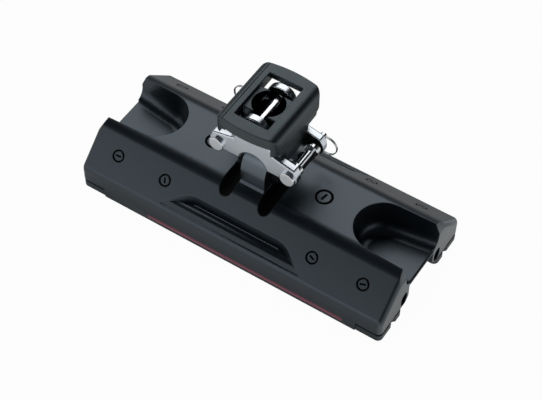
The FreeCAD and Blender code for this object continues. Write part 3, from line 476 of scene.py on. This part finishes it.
def stripe_red():
    """The lower line of the stripe, a muted red that is a little thin in places."""
    finish = Finish("stripe_red")
    cloud = finish.noise(scale=90, detail=4, stretch=(0.3, 1, 1))
    finish.colour(cloud, dark=(0.42, 0.13, 0.18), pale=(0.50, 0.16, 0.22))
    finish.roughness(cloud, low=0.35, high=0.5)
    return finish.material


def bush_black():
    """Black bearing plastic of the hinge bush."""
    finish = Finish("bush_black")
    cloud = finish.noise(scale=600, detail=3)
    finish.colour(cloud, dark=(0.01, 0.01, 0.01), pale=(0.02, 0.02, 0.02))
    finish.roughness(cloud, low=0.35, high=0.5)
    return finish.material


anodised = anodised_black()
moulded = moulded_black()
cap_skin = cap_black()
painted_shade_finish = painted_shade_black()
drum_finish = drum_black()
tumbled = tumbled_steel()
wire_metal = drawn_wire()
screw_black = blackened_screws()
small_steel = plain_steel()
ball_plastic = bearing_balls()
race_finish = race_metal()
stripe_paint = stripe_red()
stripe_shadow = stripe_shade()
bush_plastic = bush_black()


# Places of the screws and on the slopes
def screw_places():
    """Middle of each screw's head, the way it faces and the radius of its ring recess."""
    places = []
    for node, (side, recess) in SCREW_GROUPS.items():
        points = [vertex.co for vertex in nodes[node].data.vertices]
        facing = Vector((0, 0, 1))
        if side:
            facing = Vector((0, side * math.sin(SLOPE), math.cos(SLOPE)))
        top = max(point.dot(facing) for point in points)
        crown = [point for point in points if point.dot(facing) > top - CROWN_DEPTH]
        columns = []
        for point in sorted(crown, key=lambda point: point.x):
            if not columns or point.x - columns[-1][-1].x > SCREW_SPACING:
                columns.append([])
            columns[-1].append(point)
        for column in columns:
            places.append((sum(column, Vector()) / len(column), facing, recess))
    return places


SCREWS = screw_places()


def screw_near(point):
    """How far a point lies from the nearest screw's axis and below its head, and its recess."""
    found = None
    for middle, facing, recess in SCREWS:
        offset = point - middle
        depth = -offset.dot(facing)
        away = (offset + facing * depth).length
        if found is None or away < found[0]:
            found = (away, depth, recess)
    return found


def slope_spot(x, along, lift, side):
    """Point at x mm along the car, some mm up a slope from its foot and some mm off the slope."""
    across = SLOPE_FOOT[0] - along * math.cos(SLOPE) + lift * math.sin(SLOPE)
    up = SLOPE_FOOT[1] + along * math.sin(SLOPE) + lift * math.cos(SLOPE)
    return Vector((x, side * across, up)) * MM


# Tests for the faces that have their own finish: painted shade in the recesses, slots and grooves
# and between the toggle's plates, and the drum's smoother finish
def in_screw_recess(centre, normal):
    away, depth, recess = screw_near(centre)
    return RECESS_TOP < depth < RECESS_BOTTOM and away < recess


def in_slot_or_rim(centre, normal):
    return screw_near(centre)[1] > SLOT_DEPTH


def in_leg_groove(centre, normal):
    """In one of the two grooves that clear the toggle's legs, beside the post."""
    across = abs(centre.x - middle_x)
    return (GROOVE_NEAR < across < GROOVE_FAR and abs(centre.y) < GROOVE_REACH
            and GROOVE_LOW < centre.z < GROOVE_HIGH and abs(normal.y) < GROOVE_LEAN)


def on_drum(centre, normal):
    across = abs(centre.x - middle_x)
    return across < DRUM_HALF and abs(centre.y) < DRUM_REACH and centre.z > DRUM_FOOT


def between_plates(centre, normal):
    inside = abs(centre.y) < PLATE_INNER
    return inside and (centre.z > CROWN_LEVEL or abs(normal.y) > PLATE_FACING)


# Car body, its end caps, its slotted screws and its stripes
def crease_bar(start, stop, side):
    """Narrow flat in the crease of a thumb recess, which catches the light as a fine line."""
    way = (stop - start).normalized()
    facing = Vector((0, side * math.cos(CREASE_ANGLE), math.sin(CREASE_ANGLE)))
    facing = (facing - way * facing.dot(way)).normalized()
    pick_none()
    bpy.ops.mesh.primitive_cube_add(size=1, location=(start + stop) / 2 + facing * CREASE_LIFT)
    bar = bpy.context.object
    bar.scale = ((stop - start).length + CREASE_LAP, CREASE_WIDTH, CREASE_THICKNESS)
    bar.rotation_mode = "QUATERNION"
    axes = Matrix((way, facing.cross(way), facing)).transposed()
    bar.rotation_quaternion = axes.to_quaternion()
    settle(bar)
    bar.data.materials.append(drum_finish)
    return bar


def crease_bars():
    """Bars along both halves of the crease in each thumb recess."""
    bars = []
    for side in (-1, 1):
        for end in (-1, 1):
            points = [slope_spot(end * x, along, lift, side) for x, along, lift in THUMB_CREASE]
            bars += [crease_bar(*pair, side) for pair in zip(points, points[1:])]
    return bars


def make_car_body():
    """Body with its side walls just behind the print and narrow bars in its creases."""
    piece = rounded_copy("car_body", "anodised_car", BODY_ROUND)
    for vertex in piece.data.vertices:
        vertex.co.y = min(max(vertex.co.y, -PRINT_BACKING), PRINT_BACKING)
    finish_piece(piece, anodised, "car", "car_body")
    # Painted shade: dull black in the ring recesses round the screws
    second_finish(piece, painted_shade_finish, in_screw_recess)
    # Painted shade: dull black in the two leg grooves beside the post
    second_finish(piece, painted_shade_finish, in_leg_groove)
    second_finish(piece, drum_finish, on_drum)
    bars = crease_bars()
    pick(piece)
    for bar in bars:
        bar.select_set(True)
    bpy.ops.object.join()


def make_caps():
    for row in ("front", "back"):
        for end in ("left", "right"):
            node = "%s_%s_cap" % (row, end)
            piece = rounded_copy(node, node + "_moulding", CAP_ROUND)
            finish_piece(piece, cap_skin, "car", node)


def make_slotted_screws():
    for node in SCREW_GROUPS:
        piece = rounded_copy(node, node + "_blackened", SCREW_ROUND, segments=2)
        finish_piece(piece, screw_black, "car", node)
        # Painted shade: dull black in each head's slot and on its faces below the top
        second_finish(piece, painted_shade_finish, in_slot_or_rim)


def make_stripes():
    """Printed lines along the foot, a red lower one and a dark one on top of it."""
    for row in ("front", "back"):
        node = row + "_stripe"
        low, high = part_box(node)
        edge = low.z + STRIPE_BAND
        piece = copy_of(node, node + "_print")
        for vertex in piece.data.vertices:
            if vertex.co.z > low.z + BETWEEN_LINES:
                share = (high.z - vertex.co.z) / LINE_HEIGHT
                vertex.co.z = edge + STRIPE_SHADE * (1 - share)
            else:
                share = (vertex.co.z - low.z) / LINE_HEIGHT
                vertex.co.z = low.z + share * STRIPE_BAND
        smooth(piece)
        finish_piece(piece, stripe_paint, "car", node)
        second_finish(piece, stripe_shadow, lambda centre, normal: centre.z > edge)


# Toggle and boot
def make_toggle():
    """Cast toggle: polished outside, with painted shade, a dull black, between its plates."""
    piece = rounded_copy("toggle_body", "toggle_casting", TOGGLE_ROUND)
    finish_piece(piece, tumbled, "toggle", "toggle_body")
    second_finish(piece, painted_shade_finish, between_plates)


def make_boot():
    """Boot with a fine moulding line from front to back over the left of its top."""
    piece = copy_of("boot", "boot_moulding")
    round_off(piece, BOOT_ROUND, segments=4)
    for place in (-LINE_WIDTH, 0, LINE_WIDTH):
        pick(piece)
        pick_all_in_edit()
        bpy.ops.mesh.bisect(plane_co=(BOOT_LINE + place, 0, 0), plane_no=(1, 0, 0))
    bpy.ops.object.mode_set(mode="OBJECT")
    low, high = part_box("boot")
    for vertex in piece.data.vertices:
        if abs(vertex.co.x - BOOT_LINE) < ON_LINE and vertex.co.z > high.z - LINE_REACH:
            vertex.co.z -= LINE_DEPTH
    keep_to_box(piece, "boot")
    smooth(piece)
    finish_piece(piece, moulded, "toggle", "boot")


# Split rings through the tails of the side pins
def make_split_ring(end, first_end):
    """Round wire wound nearly twice, one turn beside the other, from an angle in degrees."""
    node = end + "_ring"
    low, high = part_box(node)
    radius = (high.x - low.x - RING_WIRE) / 2
    climb = RING_WIRE * RING_TURN / 360
    pick_none()
    bpy.ops.mesh.primitive_circle_add(vertices=WIRE_SIDES, radius=RING_WIRE / 2,
                                      location=(low + high) / 2)
    piece = bpy.context.object
    piece.name = end + "_split_ring"
    pick_all_in_edit()
    bpy.ops.transform.translate(value=(radius, -climb / 2, 0))
    bpy.ops.object.mode_set(mode="OBJECT")
    winding = piece.modifiers.new("winding", "SCREW")
    winding.axis = "Y"
    winding.angle = math.radians(RING_TURN)
    winding.screw_offset = climb
    winding.steps = winding.render_steps = RING_STEPS
    winding.use_smooth_shade = True
    apply_all(piece)
    pick_all_in_edit()
    bpy.ops.mesh.select_all(action="DESELECT")
    bpy.ops.mesh.select_non_manifold(extend=False, use_wire=False, use_multi_face=False,
                                     use_non_contiguous=False, use_verts=False)
    bpy.ops.mesh.edge_face_add()
    bpy.ops.mesh.select_all(action="SELECT")
    bpy.ops.mesh.normals_make_consistent(inside=False)
    bpy.ops.object.mode_set(mode="OBJECT")
    piece.rotation_euler.y = math.radians(first_end)
    settle(piece)
    smooth(piece, angle=50)
    finish_piece(piece, wire_metal, nodes[node]["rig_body"], node)


# Nodes that keep their own form and only get a finish
PLAIN_NODES = {
    "cap_screws": small_steel, "front_race": race_finish, "back_race": race_finish,
    "front_balls": ball_plastic, "back_balls": ball_plastic, "hinge_bush": bush_plastic,
    "hinge_clips": small_steel, "centre_clips": small_steel,
}
TURNED_NODES = ("hinge_pin", "centre_pin", "left_pin", "right_pin", "front_left_spacer",
                "back_left_spacer", "front_right_spacer", "back_right_spacer")


def dress(node, material):
    """Give a CAD node its finish in place of what it came with."""
    nodes[node].data.materials.clear()
    nodes[node].data.materials.append(material)


def dress_plain_nodes():
    """Give the plain nodes their finish, with turning marks about the axes of the turned ones."""
    for node, material in PLAIN_NODES.items():
        dress(node, material)
    for node in TURNED_NODES:
        low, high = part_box(node)
        along = 0 if node == "hinge_pin" else 1
        dress(node, turned_steel("turned_" + node, (low + high) / 2, along))


make_car_body()
make_caps()
make_slotted_screws()
make_stripes()
make_toggle()
make_boot()
make_split_ring("left", 140)
make_split_ring("right", 40)
dress_plain_nodes()


# Floor: its size and drop, how much of its white the camera and see-through rays see, and how much
# mirror rays see at each place in metres, from front to back and toward the right end. What mirror
# rays see is a painted shadow, darker toward the object's front and behind it, and painted light
# toward its right end.
FLOOR_SIZE = 6.0
FLOOR_DROP = 0.05 * MM
FLOOR_GLOW = {"Is Camera Ray": 0.97, "Is Transmission Ray": 0.35}
MIRROR_SHADOW_FRONT_TO_BACK = ((-0.40, 0.50), (-0.12, 0.42), (-0.065, 0.22), (0.04, 0.12))
MIRROR_LIGHT_RIGHT_END = ((0.118, 0.0), (0.132, 0.62))

# World: height and colour of the pale horizon and the dark above it, and strength at each place
# from front to back
HORIZON = (0.05, (0.75, 0.76, 0.78, 1))
OVERHEAD = (0.45, (0.03, 0.032, 0.036, 1))
WORLD_DEPTH = ((-0.2, 1.0), (0.45, 0.25))

# Softboxes: direction, size in metres and radiance. Both stand equally far from AIM and face it.
SOFTBOXES = {
    "back_softbox": ((-0.33, 0.60, 0.80), (1.5, 0.8), 1.4),
    "front_softbox": ((-0.33, -0.90, 0.42), (1.5, 0.5), 0.84),
}
SOFTBOX_DISTANCE = 1.2
AIM = Vector((0, 0, 0.04))


def reckon(tree, operation, first, second):
    """Result of a math node on two sockets, or on a socket and a number."""
    node = tree.nodes.new("ShaderNodeMath")
    node.operation = operation
    tree.links.new(first, node.inputs[0])
    if isinstance(second, float):
        node.inputs[1].default_value = second
    else:
        tree.links.new(second, node.inputs[1])
    return node.outputs["Value"]


def graded(tree, source, stops):
    """A value that runs through (place, value) stops as the source goes from -0.5 to 0.5."""
    ramp = tree.nodes.new("ShaderNodeValToRGB")
    while len(ramp.color_ramp.elements) < len(stops):
        ramp.color_ramp.elements.new(0.5)
    for element, (at, value) in zip(ramp.color_ramp.elements, stops):
        element.position = at + 0.5
        element.color = (value, value, value, 1)
    tree.links.new(reckon(tree, "ADD", source, 0.5), ramp.inputs["Fac"])
    return ramp.outputs["Color"]


def place_parts(tree, kind):
    """X, Y and Z of the Object or Generated coordinates."""
    place = tree.nodes.new("ShaderNodeTexCoord")
    parts = tree.nodes.new("ShaderNodeSeparateXYZ")
    tree.links.new(place.outputs[kind], parts.inputs[0])
    return parts.outputs


def white_to_the_eye(tree, shader):
    """Mix a white glow over a shader for camera, mirror and see-through rays, the mirror glow
    graded by place as a painted shadow and painted light.
    """
    path = tree.nodes.new("ShaderNodeLightPath")
    parts = place_parts(tree, "Object")
    # Painted shadow near the object and painted light toward its right end, for mirror rays only
    painted_mirror_glow = reckon(tree, "MAXIMUM", graded(tree, parts["Y"], MIRROR_SHADOW_FRONT_TO_BACK),
                      graded(tree, parts["X"], MIRROR_LIGHT_RIGHT_END))
    total = reckon(tree, "MULTIPLY", path.outputs["Is Glossy Ray"], painted_mirror_glow)
    for kind, share in FLOOR_GLOW.items():
        seen = reckon(tree, "MULTIPLY", path.outputs[kind], share)
        total = reckon(tree, "MAXIMUM", total, seen)
    glow = tree.nodes.new("ShaderNodeEmission")
    glow.inputs["Color"].default_value = (1, 1, 1, 1)
    mix = tree.nodes.new("ShaderNodeMixShader")
    tree.links.new(total, mix.inputs["Fac"])
    tree.links.new(shader, mix.inputs[1])
    tree.links.new(glow.outputs["Emission"], mix.inputs[2])
    return mix.outputs["Shader"]


def make_floor():
    """White floor, a hair below the object's lowest face: plain to the camera, with a painted
    shadow and painted light in what mirror rays see.
    """
    pick_none()
    bpy.ops.mesh.primitive_plane_add(size=FLOOR_SIZE, location=(0, 0, -FLOOR_DROP))
    floor = bpy.context.object
    floor.name = "floor"
    material = bpy.data.materials.new("floor_white")
    material.use_nodes = True
    tree = material.node_tree
    shader = tree.nodes["Principled BSDF"]
    shader.inputs["Base Color"].default_value = (0.9, 0.9, 0.9, 1)
    shader.inputs["Roughness"].default_value = 0.9
    shader.inputs["Specular IOR Level"].default_value = 0.0
    surface = tree.nodes["Material Output"].inputs["Surface"]
    tree.links.new(white_to_the_eye(tree, shader.outputs["BSDF"]), surface)
    floor.data.materials.append(material)


def make_world():
    """White round the horizon, dark overhead and dimmer behind the object."""
    world = bpy.data.worlds.new("studio")
    bpy.context.scene.world = world
    world.use_nodes = True
    tree = world.node_tree
    parts = place_parts(tree, "Generated")
    ramp = tree.nodes.new("ShaderNodeValToRGB")
    for element, (height, colour) in zip(ramp.color_ramp.elements, (HORIZON, OVERHEAD)):
        element.position = height
        element.color = colour
    tree.links.new(parts["Z"], ramp.inputs["Fac"])
    background = tree.nodes["Background"]
    tree.links.new(ramp.outputs["Color"], background.inputs["Color"])
    tree.links.new(graded(tree, parts["Y"], WORLD_DEPTH), background.inputs["Strength"])


def make_softbox(name, direction, size, radiance):
    """Area light that faces the object from a direction, as bright as its radiance says."""
    light = bpy.data.lights.new(name, "AREA")
    light.shape = "RECTANGLE"
    light.size, light.size_y = size
    light.energy = radiance * math.pi * size[0] * size[1]
    lamp = bpy.data.objects.new(name, light)
    bpy.context.scene.collection.objects.link(lamp)
    way = Vector(direction).normalized()
    lamp.location = AIM + way * SOFTBOX_DISTANCE
    lamp.rotation_mode = "QUATERNION"
    lamp.rotation_quaternion = (-way).to_track_quat("-Z", "Y")


# Camera: angles, roll and distance solved from the photograph's perspective
IMAGE_WIDTH = 542
AZIMUTH = math.radians(32.29)
ELEVATION = math.radians(52.31)
ROLL = math.radians(0.90)
DISTANCE = 1.1765
FOCAL_PIXELS = 1606.3
SHIFT_PIXELS = (3.1, 10.4)
SENSOR = 36


def make_camera():
    data = bpy.data.cameras.new("camera")
    camera = bpy.data.objects.new("camera", data)
    bpy.context.scene.collection.objects.link(camera)
    level = math.cos(ELEVATION)
    back = Vector((math.sin(AZIMUTH) * level, -math.cos(AZIMUTH) * level, math.sin(ELEVATION)))
    right = Vector((math.cos(AZIMUTH), math.sin(AZIMUTH), 0))
    up = back.cross(right)
    turned_right = right * math.cos(ROLL) + up * math.sin(ROLL)
    turned_up = up * math.cos(ROLL) - right * math.sin(ROLL)
    axes = Matrix((turned_right, turned_up, back)).transposed()
    camera.matrix_world = Matrix.Translation(back * DISTANCE) @ axes.to_4x4()
    data.sensor_width = SENSOR
    data.lens = FOCAL_PIXELS / IMAGE_WIDTH * SENSOR
    data.shift_x = SHIFT_PIXELS[0] / IMAGE_WIDTH
    data.shift_y = SHIFT_PIXELS[1] / IMAGE_WIDTH
    data.clip_start = 0.1
    data.clip_end = 20
    bpy.context.scene.camera = camera


make_floor()
make_world()
for name, (direction, size, radiance) in SOFTBOXES.items():
    make_softbox(name, direction, size, radiance)
make_camera()
bpy.context.scene.view_settings.view_transform = "Standard"
